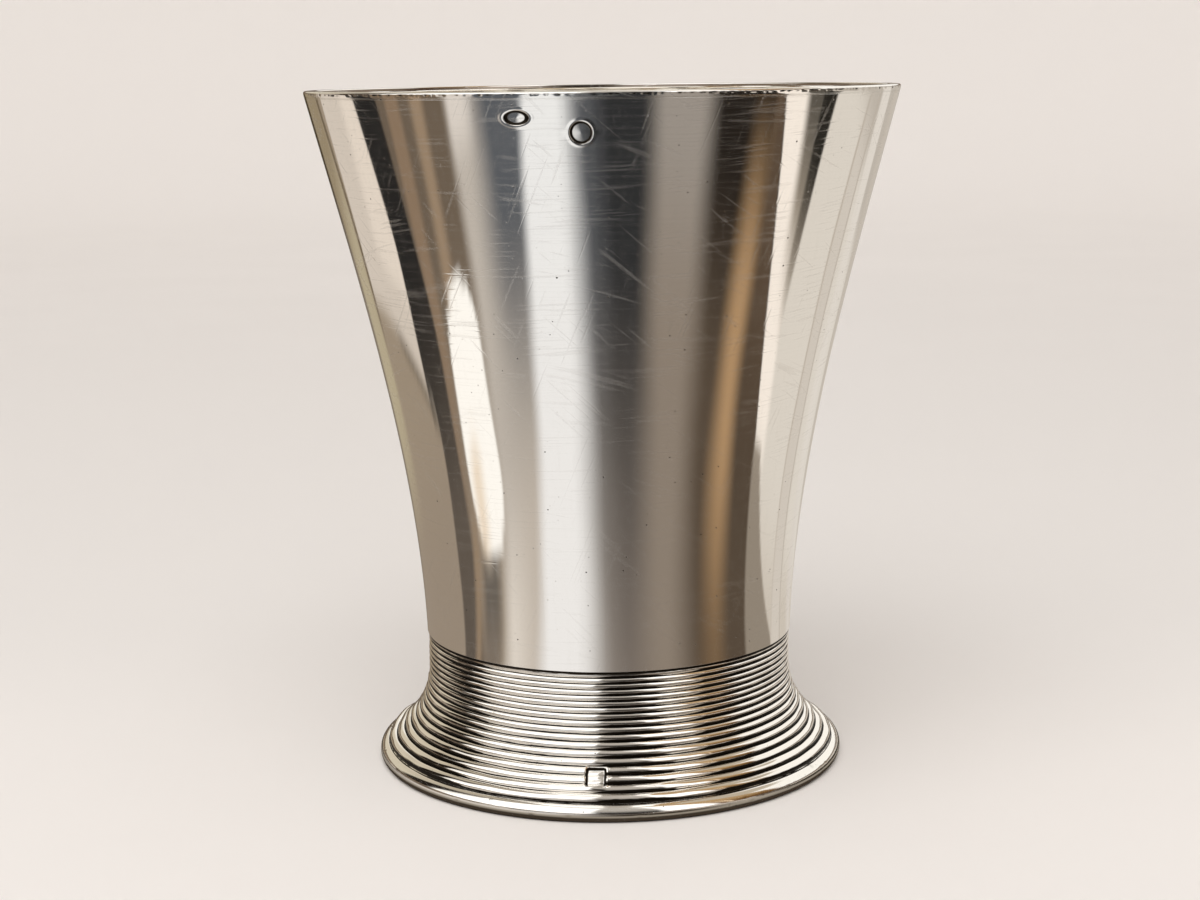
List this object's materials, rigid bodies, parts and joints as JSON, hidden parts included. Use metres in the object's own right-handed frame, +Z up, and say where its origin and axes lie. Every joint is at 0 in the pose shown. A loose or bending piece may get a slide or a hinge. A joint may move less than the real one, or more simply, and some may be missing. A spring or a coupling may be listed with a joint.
{
  "type": "silver beaker",
  "caption": "Flared silver drinking beaker with a wired lip, standing on a hollow reeded foot that sweeps out to a rounded base wire.",
  "frame": {"origin": "on the beaker's axis, at the level of the flat face under the foot wire", "axes": "+Z up along the beaker's axis; the beaker is round, so +X and +Y are free"},
  "size_m": [0.0692, 0.0692, 0.08],
  "materials": {
    "wall_silver": "polished, with fine scratches",
    "lip_silver": "polished, nicked along the edge",
    "floor_silver": "satin, lightly tarnished",
    "reeded_silver": "polished crowns, darkened grooves",
    "base_silver": "polished, worn underneath",
    "hard_solder": "dull grey silver"
  },
  "bodies": {
    "root": {"cup_wall": "wall_silver", "lip_wire": "lip_silver", "cup_floor": "floor_silver", "reeded_foot": "reeded_silver", "foot_wire": "base_silver", "lip_solder": "hard_solder", "floor_solder": "hard_solder", "neck_solder": "hard_solder", "spigot_solder": "hard_solder", "foot_wire_solder": "hard_solder"}
  },
  "joints": []
}
